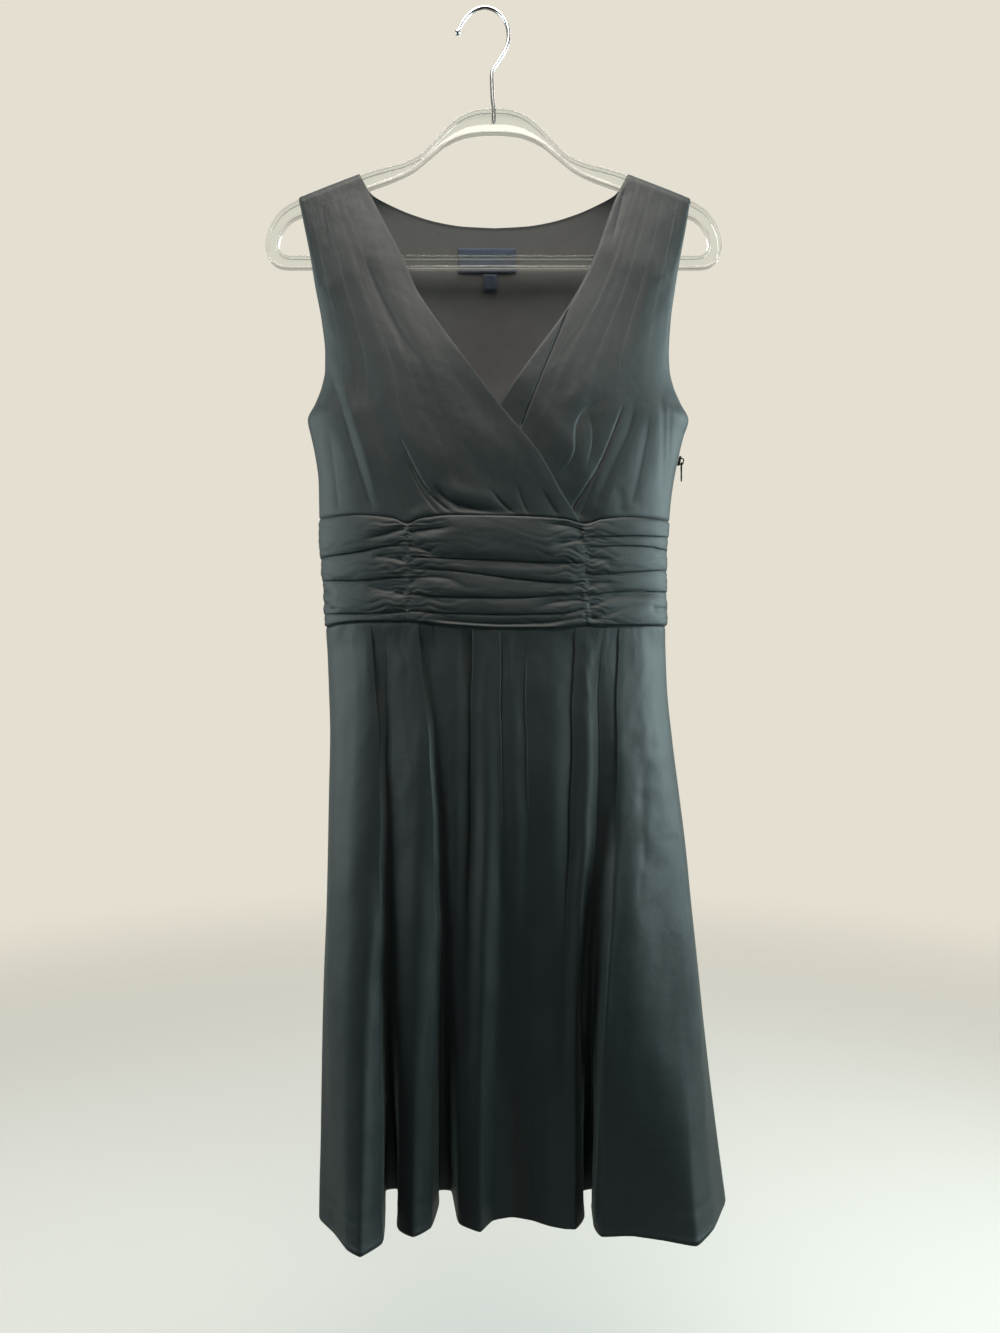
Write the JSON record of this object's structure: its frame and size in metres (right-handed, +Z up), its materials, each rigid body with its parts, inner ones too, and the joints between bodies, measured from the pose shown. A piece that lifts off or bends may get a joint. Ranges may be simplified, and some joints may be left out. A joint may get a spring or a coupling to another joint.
{
  "type": "cocktail dress on clothes hanger",
  "caption": "Sleeveless satin cocktail dress with crossover V neckline, ruched waistband and softly pleated knee-length skirt, hanging from a clear plastic hanger with wire hook.",
  "frame": {"origin": "inside of the hook's crown, on the wire's lowest line, where it hangs on a rail or wall hook", "axes": "+Z up along the hanger's stem, the front of the dress faces -Y, +X to the wearer's left"},
  "size_m": [0.4314, 0.1304, 1.121],
  "materials": {
    "satin": "black satin, soft sheen",
    "woven_label": "dark navy woven taffeta",
    "black_metal": "black enamelled zinc",
    "clear_plastic": "clear, glossy, injection moulded",
    "chrome_wire": "bright chromed wire"
  },
  "bodies": {
    "dress": {"bodice_front_right": "satin", "bodice_front_left": "satin", "bodice_back": "satin", "waistband_front_centre": "satin", "waistband_front_right": "satin", "waistband_front_left": "satin", "waistband_back": "satin", "skirt_front": "satin", "skirt_back": "satin", "neck_label": "woven_label", "size_tab": "woven_label", "zip_slider": "black_metal", "hanger_body": "clear_plastic", "hanger_hook": "chrome_wire"},
    "pull": {"zip_pull": "black_metal"}
  },
  "joints": [
    {"name": "pull_hinge", "type": "hinge", "parent": "dress", "child": "pull", "pos_m": [0.18407, -0.001, -0.42606], "axis": [0, -1, 0], "range_deg": [0, 130]}
  ]
}
